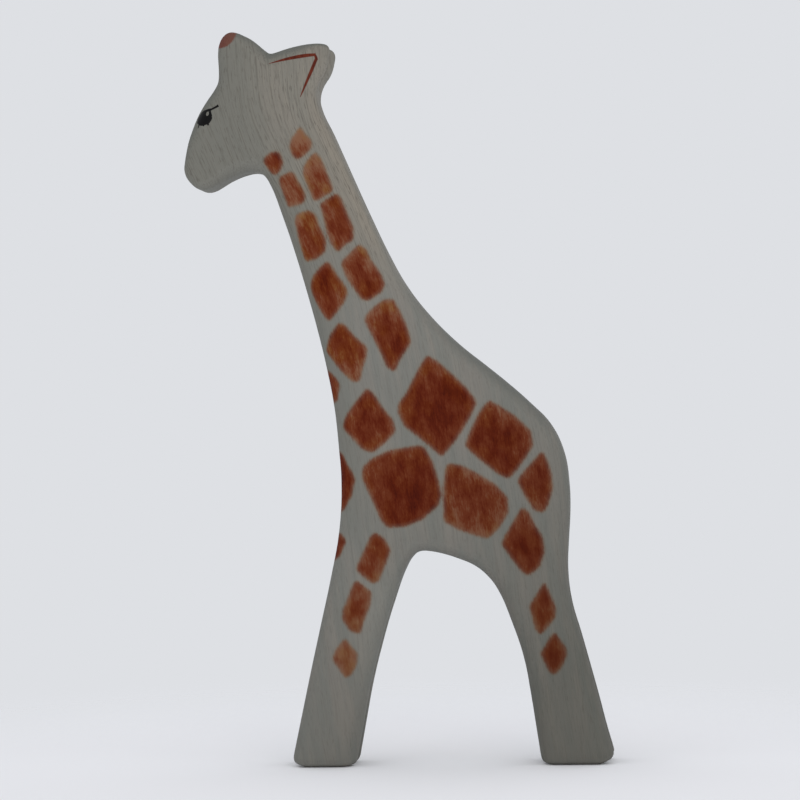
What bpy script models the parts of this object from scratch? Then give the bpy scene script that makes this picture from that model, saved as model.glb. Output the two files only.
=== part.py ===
"""A standing toy giraffe, sawn from one board and rounded by hand.

The figure faces -X, its board lies in the XZ plane, and it stands on z = 0.
The outline is drawn from the floor point of the front toe: X runs towards the
tail and Z runs up. The finished figure is then centred on its own length.
All sizes are in metres.
"""
import math

import bmesh
import bpy
from mathutils import Vector

# The board and the whole figure
BOARD_THICKNESS = 0.028
FIGURE_HEIGHT = 0.3296         # floor to horn tip
STANCE_LENGTH = 0.1458         # front toe to hind heel, along the floor
NOSE_REACH = 0.0425            # how far the nose stands ahead of the front toe

# The feet
FRONT_FOOT_LENGTH = 0.0294
HIND_FOOT_LENGTH = 0.0333
SAW_ALLOWANCE = 0.016          # how far the legs are drawn on below the floor before they are sawn
STRAIGHT_FOOT = 0.008          # how high above the floor a leg's edges run straight
TOE_LIFT = (0.0067, 0.0017)    # the front sole rises towards the toe: over what length, and how far
HEEL_LIFT = (0.0070, 0.0026)   # and the hind sole towards the heel

# Landmarks of the body: how far behind the toe or ahead of the hind heel, and how high
CHEST_SETBACK = 0.0252
CHEST_HEIGHT = 0.1267
WITHERS_SETBACK = 0.0792
WITHERS_HEIGHT = 0.1874
CROUP_INSET = 0.0266
CROUP_HEIGHT = 0.1512
HOCK_INSET = 0.0202
HOCK_HEIGHT = 0.0860
ARCH_SETBACK = 0.0624
ARCH_HEIGHT = 0.0955

# How far each long edge bows towards the tail from the straight line between
# its two landmarks, at evenly spaced stations from the lower one to the upper
FRONT_LEG_FRONT_BOWS = (0.0006, 0.0012, 0.0020, 0.0028, 0.0028)
NECK_FRONT_BOWS = (0.0028, 0.0050, 0.0058, 0.0058, 0.0052, 0.0042, 0.0026)
NECK_BACK_BOWS = (-0.0058, -0.0084, -0.0082, -0.0069, -0.0053, -0.0035, -0.0017)
BACK_BOWS = (0.0016, 0.0018, 0.0010)
RUMP_BOWS = (0.0019, 0.0041, 0.0052, 0.0046)
HIND_LEG_REAR_BOWS = (-0.0006, -0.0007, -0.0010, -0.0014, -0.0019)
HIND_LEG_FRONT_BOWS = (0.0015, 0.0030, 0.0040, 0.0028)
FRONT_LEG_REAR_BOWS = (-0.0014, -0.0027, -0.0029, -0.0022)

# The arch under the belly: from its crown, towards the tail and up
ARCH_REAR = (
    (0.0316, -0.0170), (0.0273, -0.0113), (0.0218, -0.0068),
    (0.0153, -0.0039), (0.0086, -0.0016), (0.0016, -0.0001),
)
ARCH_FRONT = ((-0.0020, 0.0000), (-0.0043, -0.0009), (-0.0062, -0.0026), (-0.0083, -0.0055))

# The head: from the tip of the nose towards the tail, and up from the horn tip
THROAT_AND_JAW = (
    (0.0378, -0.0672), (0.0359, -0.0645), (0.0337, -0.0630), (0.0305, -0.0625),
    (0.0269, -0.0631), (0.0200, -0.0655), (0.0137, -0.0688),
)
CHIN_AND_NOSE = (
    (0.0112, -0.0700), (0.0085, -0.0704), (0.0058, -0.0697), (0.0031, -0.0675),
    (0.0010, -0.0647), (0.0000, -0.0614), (0.0003, -0.0578), (0.0017, -0.0507),
)
BROW = ((0.0037, -0.0439), (0.0063, -0.0373), (0.0100, -0.0311), (0.0141, -0.0254), (0.0158, -0.0222))
HORN_FRONT = ((0.0162, -0.0187), (0.0164, -0.0091))
HORN_TIP = ((0.0172, -0.0051), (0.0190, -0.0019), (0.0219, 0.0000), (0.0249, -0.0003))
HORN_BACK = ((0.0282, -0.0017), (0.0313, -0.0033), (0.0367, -0.0078))
EAR_NOTCH = (0.0393, -0.0100)
EAR_TOP = ((0.0427, -0.0092), (0.0461, -0.0081), (0.0531, -0.0066), (0.0603, -0.0063))
EAR_TIP = ((0.0638, -0.0066), (0.0656, -0.0071), (0.0667, -0.0082), (0.0671, -0.0098), (0.0667, -0.0124))
EAR_REAR = ((0.0651, -0.0187), (0.0617, -0.0255))
NAPE = ((0.0606, -0.0290), (0.0608, -0.0326))

# The hand-rounded edges
EDGE_ROUND = 0.0070            # along the body, neck and legs
MUZZLE_ROUND = 0.0045
HORN_ROUND = 0.0036
EAR_ROUND = 0.0020
ROUND_EASING = 0.0140          # how far from a tip the rounding takes to reach its full width
ROUND_LIMIT = 0.45             # no rounding is wider than this share of the board
ROUND_SEGMENTS = 5
SOLE_ROUND = 0.0025            # round the soles, which stay flat
SOLE_SEGMENTS = 4
SOLE_CORNER = math.radians(60)  # a corner that turns less than this is only sanded

# The sawn slot that parts the left legs from the right ones
SLOT_TOP_WIDTH = 0.0050
SLOT_FOOT_WIDTH = 0.0075
SLOT_WEB = 0.0155              # wood left between the slot and the crown of the arch
SLOT_CROWN_STEPS = 8

# The V-shaped cut that parts the two ears along their rear edge
EAR_CUT_DEPTH = 0.0080         # at the ear tip, running out at the nape
EAR_CUT_WIDTH = 0.0190
EAR_CUT_RUNOUT = 0.0006        # how far the lower end of the cut stands clear of the nape

CURVE_STEPS = 4                # facets between two points of the outline
CUTTER_OVERHANG = 0.010        # how far a cutter runs past the wood
WOOD_COLOUR = (0.177, 0.165, 0.144, 1.0)


def clear_scene():
    """Remove whatever the file holds, so that the script starts from nothing."""
    for scene_object in list(bpy.data.objects):
        bpy.data.objects.remove(scene_object, do_unlink=True)


def new_collection(name):
    collection = bpy.data.collections.new(name)
    bpy.context.scene.collection.children.link(collection)
    return collection


def wood_material():
    """Unvarnished, oiled pale maple."""
    material = bpy.data.materials.new("oiled_maple")
    material.use_nodes = True
    shader = material.node_tree.nodes["Principled BSDF"]
    shader.inputs["Base Color"].default_value = WOOD_COLOUR
    shader.inputs["Roughness"].default_value = 0.6
    shader.inputs["Metallic"].default_value = 0.0
    return material


def stations(low, high, bows):
    """Points evenly spaced from low to high, without these two, each bowed towards the tail."""
    steps = len(bows) + 1
    return [low.lerp(high, (i + 1) / steps) + Vector((bow, 0.0)) for i, bow in enumerate(bows)]


def shifted(points, origin):
    return [origin + Vector(point) for point in points]


def smooth_anchors(points):
    return [{"point": point, "kind": "AUTO"} for point in points]


def run_below_floor(foot, above):
    """A foot's edge carried straight on below the floor, where the saw takes the end off."""
    return {"point": foot + (foot - above) * (SAW_ALLOWANCE / above.y), "kind": "VECTOR"}


def landmarks():
    """The named places that the outline hangs on, in the drawing's own (x, z)."""
    toe = Vector((0.0, 0.0))
    hind_heel = Vector((STANCE_LENGTH, 0.0))
    head = Vector((-NOSE_REACH, FIGURE_HEIGHT))
    return {
        "toe": toe,
        "front_heel": toe + Vector((FRONT_FOOT_LENGTH, 0.0)),
        "hind_toe": hind_heel - Vector((HIND_FOOT_LENGTH, 0.0)),
        "hind_heel": hind_heel,
        "chest": toe + Vector((CHEST_SETBACK, CHEST_HEIGHT)),
        "withers": toe + Vector((WITHERS_SETBACK, WITHERS_HEIGHT)),
        "croup": hind_heel + Vector((-CROUP_INSET, CROUP_HEIGHT)),
        "hock": hind_heel + Vector((-HOCK_INSET, HOCK_HEIGHT)),
        "arch": toe + Vector((ARCH_SETBACK, ARCH_HEIGHT)),
        "head": head,
        "throat": head + Vector(THROAT_AND_JAW[0]),
        "nape": head + Vector(NAPE[-1]),
    }


def outline_anchors(at):
    """The figure's outline, from the front toe up the front, over the head and back, and under."""
    front_edge = stations(at["toe"], at["chest"], FRONT_LEG_FRONT_BOWS) + [at["chest"]]
    front_edge += stations(at["chest"], at["throat"], NECK_FRONT_BOWS)
    horn = HORN_FRONT + HORN_TIP + HORN_BACK
    face = shifted(THROAT_AND_JAW + CHIN_AND_NOSE + BROW + horn, at["head"])
    ear = shifted(EAR_TOP + EAR_TIP + EAR_REAR + NAPE, at["head"])
    back_edge = stations(at["withers"], at["nape"], NECK_BACK_BOWS)[::-1] + [at["withers"]]
    back_edge += stations(at["croup"], at["withers"], BACK_BOWS)[::-1] + [at["croup"]]
    back_edge += stations(at["hock"], at["croup"], RUMP_BOWS)[::-1] + [at["hock"]]
    back_edge += stations(at["hind_heel"], at["hock"], HIND_LEG_REAR_BOWS)[::-1]
    arch_rear = shifted(ARCH_REAR, at["arch"])
    arch_front = shifted(ARCH_FRONT, at["arch"])
    underside = stations(at["hind_toe"], arch_rear[0], HIND_LEG_FRONT_BOWS) + arch_rear + arch_front
    underside += stations(at["front_heel"], arch_front[-1], FRONT_LEG_REAR_BOWS)[::-1]
    notch = [{"point": at["head"] + Vector(EAR_NOTCH), "kind": "VECTOR"}]
    front = smooth_anchors(front_edge + face) + notch
    rear = smooth_anchors(ear + back_edge)
    under = smooth_anchors(underside)
    return ([run_below_floor(at["toe"], front_edge[0])] + front + rear
            + [run_below_floor(at["hind_heel"], back_edge[-1])]
            + [run_below_floor(at["hind_toe"], underside[0])] + under
            + [run_below_floor(at["front_heel"], underside[-1])])


def outline_ring(name, anchors, collection):
    """The points that a smooth, closed outline is drawn with, in order, as (x, z)."""
    curve = bpy.data.curves.new(name, "CURVE")
    curve.dimensions = "2D"
    curve.fill_mode = "NONE"
    curve.resolution_u = CURVE_STEPS
    spline = curve.splines.new("BEZIER")
    spline.use_cyclic_u = True
    spline.bezier_points.add(len(anchors) - 1)
    for bezier_point, anchor in zip(spline.bezier_points, anchors):
        bezier_point.co = anchor["point"].to_3d()
        bezier_point.handle_left_type = anchor["kind"]
        bezier_point.handle_right_type = anchor["kind"]
    drawing = bpy.data.objects.new(name, curve)
    collection.objects.link(drawing)
    bpy.context.view_layer.update()
    mesh = bpy.data.meshes.new_from_object(drawing.evaluated_get(bpy.context.evaluated_depsgraph_get()))
    ring = [vert.co.to_2d() for vert in mesh.vertices]
    bpy.data.objects.remove(drawing, do_unlink=True)
    bpy.data.meshes.remove(mesh)
    return ring


def without_foot_points(ring):
    """The legs run straight near the floor, and without points there the saw cuts them cleanly."""
    drawn_end = min(point.y for point in ring)
    return [point for point in ring
            if point.y > STRAIGHT_FOOT or math.isclose(point.y, drawn_end, abs_tol=0.00001)]


def rounding_widths(ring, head):
    """How much the edge is rounded at each point: less at the small tips, and eased into the rest."""
    full = min(EDGE_ROUND, ROUND_LIMIT * BOARD_THICKNESS)
    tips = [(min(tip_round, full), shifted(points, head)) for tip_round, points in (
        (MUZZLE_ROUND, CHIN_AND_NOSE), (HORN_ROUND, HORN_TIP), (EAR_ROUND, EAR_TIP))]

    def width(point):
        eased = [full]
        for tip_round, tip in tips:
            share = min(min((point - place).length for place in tip) / ROUND_EASING, 1.0)
            eased.append(tip_round + (full - tip_round) * share * share * (3.0 - 2.0 * share))
        return min(eased)

    return [width(point) for point in ring]


def inward_mitres(ring):
    """At each point the way into the wood, as long as a mitre there has to be."""
    mitres = []
    for i, here in enumerate(ring):
        into = (here - ring[i - 1]).normalized()
        out = (ring[(i + 1) % len(ring)] - here).normalized()
        along = (into + out).normalized()
        mitres.append(Vector((along.y, -along.x)) / along.dot(out))
    return mitres


def lofted_board(ring, head):
    """The rounded board as a loft, from one face to the other, of the outline drawn in."""
    widths, mitres = rounding_widths(ring, head), inward_mitres(ring)
    turns = [math.pi / 2.0 * step / ROUND_SEGMENTS for step in range(ROUND_SEGMENTS, -1, -1)]
    sections = [(-1.0, turn) for turn in turns] + [(1.0, turn) for turn in reversed(turns)]

    def place(i, side, turn):
        inset = mitres[i] * (widths[i] * (1.0 - math.cos(turn)))
        depth = BOARD_THICKNESS / 2.0 - widths[i] * (1.0 - math.sin(turn))
        return Vector((ring[i].x + inset.x, side * depth, ring[i].y + inset.y))

    board = bmesh.new()
    rim_verts = [board.verts.new(place(i, *sections[0])) for i in range(len(ring))]
    rim = [board.edges.new((rim_verts[i - 1], rim_verts[i])) for i in range(len(ring))]
    bmesh.ops.contextual_create(board, geom=rim)
    for section in sections[1:]:
        grown = bmesh.ops.extrude_edge_only(board, edges=rim)["geom"]
        new_verts = {item for item in grown if isinstance(item, bmesh.types.BMVert)}
        rim_verts = [next(edge.other_vert(vert) for edge in vert.link_edges
                          if edge.other_vert(vert) in new_verts) for vert in rim_verts]
        rim = [board.edges.get((rim_verts[i - 1], rim_verts[i])) for i in range(len(ring))]
        for i, vert in enumerate(rim_verts):
            vert.co = place(i, *section)
    bmesh.ops.contextual_create(board, geom=rim)
    bmesh.ops.recalc_face_normals(board, faces=board.faces)
    return board


def sole_cuts(at):
    """The saw cuts that make the soles, each as a place on the cut and the way its waste lies, in (x, z)."""
    toe_run, toe_rise = TOE_LIFT
    heel_run, heel_rise = HEEL_LIFT
    return [
        (at["toe"], Vector((0.0, -1.0))),
        (at["toe"] + Vector((toe_run, 0.0)), Vector((-toe_rise, -toe_run)).normalized()),
        (at["hind_heel"] - Vector((heel_run, 0.0)), Vector((heel_rise, -heel_run)).normalized()),
    ]


def stand_on_soles(board, at):
    """Saw the feet off level with the floor, lift a toe and a heel, and take the sharpness off the soles."""
    for place, waste in sole_cuts(at):
        everything = [*board.verts, *board.edges, *board.faces]
        sawn = bmesh.ops.bisect_plane(board, geom=everything, dist=0.00001, plane_co=(place.x, 0.0, place.y),
                                      plane_no=(waste.x, 0.0, waste.y), clear_outer=True)["geom_cut"]
        bmesh.ops.holes_fill(board, edges=[item for item in sawn if isinstance(item, bmesh.types.BMEdge)], sides=0)
    bmesh.ops.recalc_face_normals(board, faces=board.faces)
    corners = [edge for edge in board.edges if max(vert.co.z for vert in edge.verts) < STRAIGHT_FOOT
               and edge.calc_face_angle() > SOLE_CORNER]
    bmesh.ops.bevel(board, geom=corners, offset=SOLE_ROUND, offset_type="OFFSET", segments=SOLE_SEGMENTS,
                    profile=0.5, affect="EDGES", clamp_overlap=True)


def object_from_bmesh(name, shape, collection):
    mesh = bpy.data.meshes.new(name)
    shape.to_mesh(mesh)
    shape.free()
    made = bpy.data.objects.new(name, mesh)
    collection.objects.link(made)
    return made


def prism(name, ring, length, collection):
    """A straight bar along X whose section is the ring, drawn as (y, z)."""
    shape = bmesh.new()
    verts = [shape.verts.new((0.0, point.x, point.y)) for point in ring]
    edges = [shape.edges.new((verts[i - 1], verts[i])) for i in range(len(verts))]
    end = bmesh.ops.contextual_create(shape, geom=edges)["faces"]
    grown = bmesh.ops.extrude_face_region(shape, geom=end)["geom"]
    moved = [item for item in grown if isinstance(item, bmesh.types.BMVert)]
    bmesh.ops.translate(shape, verts=moved, vec=(length, 0.0, 0.0))
    bmesh.ops.recalc_face_normals(shape, faces=shape.faces)
    return object_from_bmesh(name, shape, collection)


def as_cutter(cutter):
    cutter.hide_render = True
    cutter.display_type = "WIRE"
    return cutter


def leg_slot_cutter(at, collection):
    """A round-topped blade that runs the length of the legs and widens towards the floor."""
    half_top, half_foot = SLOT_TOP_WIDTH / 2.0, SLOT_FOOT_WIDTH / 2.0
    top = at["arch"].y - SLOT_WEB
    shoulder = top - half_top
    half_end = half_foot + (half_foot - half_top) * CUTTER_OVERHANG / shoulder
    crown = [Vector((half_top * math.cos(turn), shoulder + half_top * math.sin(turn)))
             for turn in (math.pi * step / SLOT_CROWN_STEPS for step in range(SLOT_CROWN_STEPS + 1))]
    feet = [Vector((-half_end, -CUTTER_OVERHANG)), Vector((half_end, -CUTTER_OVERHANG))]
    length = NOSE_REACH + STANCE_LENGTH + 2.0 * CUTTER_OVERHANG
    blade = prism("leg_slot_cutter", crown + feet, length, collection)
    blade.location.x = -NOSE_REACH - CUTTER_OVERHANG
    return as_cutter(blade)


def ear_cutter(at, collection):
    """A square bar on its corner, whose lower edge cuts the V between the ears."""
    nape = at["head"] + Vector(NAPE[0])
    tip = at["head"] + Vector(max(EAR_TIP))
    bottom = Vector((nape.x + EAR_CUT_RUNOUT, 0.0, nape.y))
    top = Vector((tip.x - EAR_CUT_DEPTH, 0.0, tip.y))
    run = (top - bottom).normalized()
    away = Vector((run.z, 0.0, -run.x))
    depth = 2.0 * EAR_CUT_DEPTH
    half_width = EAR_CUT_WIDTH / 2.0 * depth / EAR_CUT_DEPTH
    bpy.ops.mesh.primitive_cylinder_add(vertices=4, radius=1.0, depth=1.0, end_fill_type="NGON")
    bar = bpy.context.object
    bar.name = "ear_cutter"
    length = (top - bottom).length + CUTTER_OVERHANG
    for vert in bar.data.vertices:
        across, side, along = vert.co
        vert.co = away * (across * depth) + Vector((0.0, side * half_width, 0.0)) + run * (along * length)
    bar.location = bottom + run * length / 2.0 + away * depth
    for owner in list(bar.users_collection):
        owner.objects.unlink(bar)
    collection.objects.link(bar)
    return as_cutter(bar)


def cut(target, cutter, name):
    boolean = target.modifiers.new(name, "BOOLEAN")
    boolean.operation = "DIFFERENCE"
    boolean.object = cutter


def shade_flat_faces_evenly(target):
    """Let the board's broad faces lead the smooth shading of the rounded edges that meet them."""
    target.data.shade_smooth()
    target.modifiers.new("face_weighted_shading", "WEIGHTED_NORMAL")


def main():
    clear_scene()
    figure = new_collection("toy_giraffe")
    cutters = new_collection("cutters")
    at = landmarks()
    ring = without_foot_points(outline_ring("outline", outline_anchors(at), figure))
    board = lofted_board(ring, at["head"])
    stand_on_soles(board, at)
    body = object_from_bmesh("carved_body", board, figure)
    body.data.materials.append(wood_material())
    cut(body, leg_slot_cutter(at, cutters), "slot_between_the_legs")
    cut(body, ear_cutter(at, cutters), "cut_between_the_ears")
    shade_flat_faces_evenly(body)

    # The figure's own origin is under the middle of its length
    origin = bpy.data.objects.new("figure_origin", None)
    figure.objects.link(origin)
    reach = [vert.co.x for vert in body.data.vertices]
    origin.location.x = -(min(reach) + max(reach)) / 2.0
    for part in [body, *cutters.objects]:
        part.parent = origin
    print(f"{max(reach) - min(reach):.4f} m long, front toe at x = {origin.location.x:.4f} m")


main()
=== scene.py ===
# %% [markdown]
# # A giraffe sawn from one board
#
# This notebook dresses a wooden toy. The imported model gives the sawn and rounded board, and each step here adds
# what a toymaker does next: sanding, oiling, staining the coat with a brush and painting the eye. Sizes are in
# metres where Blender asks for them, and in millimetres where a hand or a ruler would set them.

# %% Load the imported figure
import math
import random

import bpy
import numpy as np
from mathutils import Matrix, Vector


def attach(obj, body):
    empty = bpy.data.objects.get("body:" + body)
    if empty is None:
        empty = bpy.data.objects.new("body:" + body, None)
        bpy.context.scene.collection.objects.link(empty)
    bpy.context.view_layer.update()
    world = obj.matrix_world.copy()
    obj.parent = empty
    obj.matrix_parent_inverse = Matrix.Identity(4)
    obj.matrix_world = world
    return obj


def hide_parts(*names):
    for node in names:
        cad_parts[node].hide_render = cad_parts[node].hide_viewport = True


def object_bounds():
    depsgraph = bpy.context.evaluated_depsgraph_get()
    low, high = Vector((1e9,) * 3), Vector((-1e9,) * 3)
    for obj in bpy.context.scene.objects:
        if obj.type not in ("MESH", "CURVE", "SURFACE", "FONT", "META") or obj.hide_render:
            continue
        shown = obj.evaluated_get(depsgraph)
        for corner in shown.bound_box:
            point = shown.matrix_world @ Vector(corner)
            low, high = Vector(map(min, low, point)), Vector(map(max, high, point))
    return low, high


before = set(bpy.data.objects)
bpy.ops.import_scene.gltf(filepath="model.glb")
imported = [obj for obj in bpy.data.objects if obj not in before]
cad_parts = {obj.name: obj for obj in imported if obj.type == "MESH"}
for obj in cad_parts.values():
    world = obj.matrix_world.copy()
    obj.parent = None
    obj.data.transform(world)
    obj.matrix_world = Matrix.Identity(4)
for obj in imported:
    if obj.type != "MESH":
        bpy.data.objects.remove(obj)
cad_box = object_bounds()
MM = 1000.0                     # millimetres in a metre
print("packed nodes:", ", ".join(sorted(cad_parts)))
print("size in mm:", [round((high - low) * MM, 1) for low, high in zip(*cad_box)])

# %% [markdown]
# ## The camera
#
# The photograph looks at the board's flat side from the height of its middle. The far ear shows past the near
# one, so the camera stands a few degrees round towards the tail, and the soles run slightly uphill, so it leans
# a little. A long lens keeps the sides nearly parallel, as in a product photograph.

# %% Place the camera
FRAME_PIXELS = 800              # the photograph is square
SENSOR_WIDTH = 36.0             # mm, as the lens
LENS = 130.4
VIEW_AZIMUTH = math.radians(5.0)
VIEW_LEAN = math.radians(-1.2)
VIEW_DISTANCE = 1.3031          # m from the target
VIEW_TARGET = Vector((0.00075, 0.0, 0.1632))

lens_data = bpy.data.cameras.new("product_camera")
lens_data.sensor_width = SENSOR_WIDTH
lens_data.lens = LENS
camera = bpy.data.objects.new("product_camera", lens_data)
bpy.context.scene.collection.objects.link(camera)
upright = Matrix.Rotation(VIEW_AZIMUTH, 3, "Z") @ Matrix.Rotation(math.radians(90.0), 3, "X")
camera_turn = upright @ Matrix.Rotation(VIEW_LEAN, 3, "Z")
camera.location = VIEW_TARGET + upright @ Vector((0.0, 0.0, VIEW_DISTANCE))
camera.rotation_euler = camera_turn.to_euler()
bpy.context.scene.camera = camera
print("camera at", [round(value, 4) for value in camera.location])


# %% Find a place on the board from a place in the picture
def on_board(across, down):
    """A place in the photograph as (x, z) in mm, where its sight line meets the board's near face."""
    half = FRAME_PIXELS / 2.0
    pixel = SENSOR_WIDTH / LENS / FRAME_PIXELS
    ray = camera_turn @ Vector(((across - half) * pixel, (half - down) * pixel, -1.0))
    reach = (cad_box[0].y - camera.location.y) / ray.y
    place = camera.location + ray * reach
    return place.x * MM, place.z * MM


pixel_mm = on_board(401, 400)[0] - on_board(400, 400)[0]
print(f"one pixel of the photograph is {pixel_mm:.3f} mm on the board")

# %% [markdown]
# ## The sanded figure
#
# A sawn board is sanded until no flat is left in its rounded edges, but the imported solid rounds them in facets.
# The solid itself stays as it is: a copy of it is merged, made anew from small voxels and relaxed, as a sculptor
# would remesh a rough model. That gives an even skin whose points can carry the coat's outlines.

# %% Copy the solid and merge its loose triangles
MERGE_DISTANCE = 0.00001        # m

giraffe = bpy.data.objects.new("sanded_giraffe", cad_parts["carved_body"].data.copy())
bpy.context.scene.collection.objects.link(giraffe)
bpy.ops.object.select_all(action="DESELECT")
giraffe.select_set(True)
bpy.context.view_layer.objects.active = giraffe
bpy.ops.object.mode_set(mode="EDIT")
bpy.ops.mesh.select_all(action="SELECT")
bpy.ops.mesh.remove_doubles(threshold=MERGE_DISTANCE)
bpy.ops.object.mode_set(mode="OBJECT")
print("merged to", len(giraffe.data.vertices), "points")

# %% Sand it smooth, and the small forms of the head more lightly
VOXEL = 0.00105                 # m between the points of the new skin
SANDING_PASSES = 8
SANDING_STEP = 0.5              # how far a pass takes a point towards the middle of its neighbours
HEAD_SANDING = ((0.0, 1.0), (0.240, 0.7), (0.250, 0.45), (0.260, 0.25))      # height in m, share of the sanding
FINE_PLACES = (((268.6, 55.0), 6.0, 0.06),       # the notch: its place in the picture, mm round it, its share
               ((330.0, 55.0), 10.0, 0.12))      # the thin tips of the ears

skin = giraffe.modifiers.new("even_skin", "REMESH")
skin.mode = "VOXEL"
skin.voxel_size = VOXEL
bpy.ops.object.modifier_apply(modifier=skin.name)
hand_pressure = giraffe.vertex_groups.new(name="hand_pressure")
for height, share in HEAD_SANDING:
    reached = [point.index for point in giraffe.data.vertices if point.co.z >= height]
    hand_pressure.add(reached, share, "REPLACE")
for spot, radius, share in FINE_PLACES:
    x, z = on_board(*spot)
    hand_pressure.add([point.index for point in giraffe.data.vertices
                       if math.hypot(point.co.x * MM - x, point.co.z * MM - z) < radius], share, "REPLACE")
sanding = giraffe.modifiers.new("sanding", "SMOOTH")
sanding.factor = SANDING_STEP
sanding.iterations = SANDING_PASSES
sanding.vertex_group = hand_pressure.name
bpy.ops.object.modifier_apply(modifier=sanding.name)
bpy.ops.object.shade_smooth()
giraffe.data.materials.clear()
print("sanded skin:", len(giraffe.data.vertices), "points,", 2 * len(giraffe.data.polygons), "triangles")

# %% [markdown]
# The photograph shows the edge of the near ear running on down behind its tip, with the far ear beyond it: the saw
# cut between the ears goes on as a shallow V down the back of the head. A sculptor's brush would push it in, and
# here the points are moved in the same way, most at the middle of the board and not at all past the V's edges.

# %% Push a V in behind the ears
EAR_EDGE = ((335.0, 62.0), (320.5, 95.0))       # the ears' back edge in the picture, from the tip to where it ends
VEE_DEPTH = 4.0                 # mm, but the saw cut has taken its deepest part, so less than half of it shows
VEE_HALF_WIDTH = 11.0           # mm to either side of the board's middle
VEE_REACH = 8.0                 # mm in front of the back edge where the push starts
VEE_RUN_OUT = 9.0               # mm over which it fades in above its lower end


def eased(share):
    """A share from 0 to 1 that starts and ends gently."""
    share = np.clip(share, 0.0, 1.0)
    return share * share * (3.0 - 2.0 * share)


count = len(giraffe.data.vertices)
points = np.empty(count * 3, np.float32)
giraffe.data.vertices.foreach_get("co", points)
points = points.reshape(-1, 3).astype(float) * MM
(tip_x, tip_z), (low_x, low_z) = (on_board(*spot) for spot in EAR_EDGE)
above = points[:, 2] - low_z
behind = points[:, 0] - low_x - above * (tip_x - low_x) / (tip_z - low_z)
vee = np.clip(1.0 - np.abs(points[:, 1]) / VEE_HALF_WIDTH, 0.0, 1.0)
push = VEE_DEPTH * vee * eased(1.0 + behind / VEE_REACH) * eased(above / VEE_RUN_OUT)
points[:, 0] -= push
giraffe.data.vertices.foreach_set("co", (points / MM).astype(np.float32).ravel())
giraffe.data.update()
print(f"pushed {int((push > 0.1).sum())} points by more than 0.1 mm, at most {push.max():.1f} mm")

# %% [markdown]
# ## Where a brush reaches
#
# A brush follows the surface round an edge, but x and z alone would smear its stroke straight through the wood.
# So each point gets an unrolled place: its own x and z, moved on past the edge by how far round the edge it lies.
# Inside the slot and the cut between the ears no brush reaches, and these points are marked as bare.

# %% Unroll the surface
UNROLL = 0.57                   # mm of stroke gained for each mm of depth, on a rounding of 7 mm
HALF_BOARD = 14.0               # mm
EDGE_FULL = 0.5                 # share of a point's normal along the board from which all of its depth counts
EDGE_LEAST = 0.05               # the least such share to divide by, as it is nearly 0 on the flat face
CUT_WITHIN = 10.0               # mm: a wall nearer the board's middle than this that faces sideways is a saw cut's
CUT_FACING = 0.6                # share of its normal across the board from which a wall faces sideways

facing = np.empty(count * 3, np.float32)
giraffe.data.vertex_normals.foreach_get("vector", facing)
facing = facing.reshape(-1, 3).astype(float)

depth = np.clip(HALF_BOARD - np.abs(points[:, 1]), 0.0, HALF_BOARD)
edgewise = np.hypot(facing[:, 0], facing[:, 2])
outward = facing[:, [0, 2]] / np.maximum(edgewise, EDGE_LEAST)[:, None]
steep = np.clip(edgewise / EDGE_FULL, 0.0, 1.0)
unrolled = points[:, [0, 2]] + outward * (UNROLL * depth * steep)[:, None]
bare = (np.abs(facing[:, 1]) > CUT_FACING) & (depth > HALF_BOARD - CUT_WITHIN)
print("points inside the saw cuts:", int(bare.sum()))


# %% Keep numbers on the mesh
def keep(name, values, kind="FLOAT"):
    """Store one number, or one vector, for each point of the figure."""
    layer = giraffe.data.attributes.new(name, kind, "POINT")
    field = "value" if kind == "FLOAT" else "vector"
    layer.data.foreach_set(field, np.ascontiguousarray(values, np.float32).ravel())
    print(f"{name}: from {np.min(values):.2f} to {np.max(values):.2f}")


keep("unrolled_mm", np.column_stack([unrolled[:, 0], np.abs(points[:, 1]), unrolled[:, 1]]), "FLOAT_VECTOR")

# %% [markdown]
# ## The run of the grain
#
# The growth rings stand upright at the horn, swing towards the tail under the cheek and run nearly straight down
# the trunk and legs. A wood texture that follows them needs a coordinate across the rings, so each point's x is
# moved back by how far the grain has wandered on its way down from the horn.

# %% Measure across the rings
GRAIN_HEIGHTS = (0.0, 60.0, 150.0, 200.0, 240.0, 262.0, 285.0, 305.0, 330.0)     # mm above the floor
GRAIN_LEANS = (0.10, 0.12, 0.12, 0.20, 0.36, 0.45, 0.34, 0.08, 0.03)             # mm tailwards for each mm down
GRAIN_TOP = 335                 # mm, a little above the horn
BOARD_TILT = 0.22               # the rings don't stand quite square to the board's face

levels = np.linspace(0.0, GRAIN_TOP, GRAIN_TOP + 1)     # one for each mm, so that the leans add up to mm
leans = np.interp(levels, GRAIN_HEIGHTS, GRAIN_LEANS)
wander = np.cumsum(leans[::-1])[::-1]
across_grain = points[:, 0] - np.interp(points[:, 2], levels, wander) + BOARD_TILT * points[:, 1]
keep("grain_mm", np.column_stack([across_grain, points[:, 1], points[:, 2]]), "FLOAT_VECTOR")

lean_here = np.interp(points[:, 2], levels, leans)
cut_across = np.abs(facing[:, 0] * lean_here - facing[:, 2]) / np.hypot(lean_here, 1.0)
keep("end_grain", np.where(facing[:, 2] > 0.0, cut_across, -cut_across))
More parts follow.
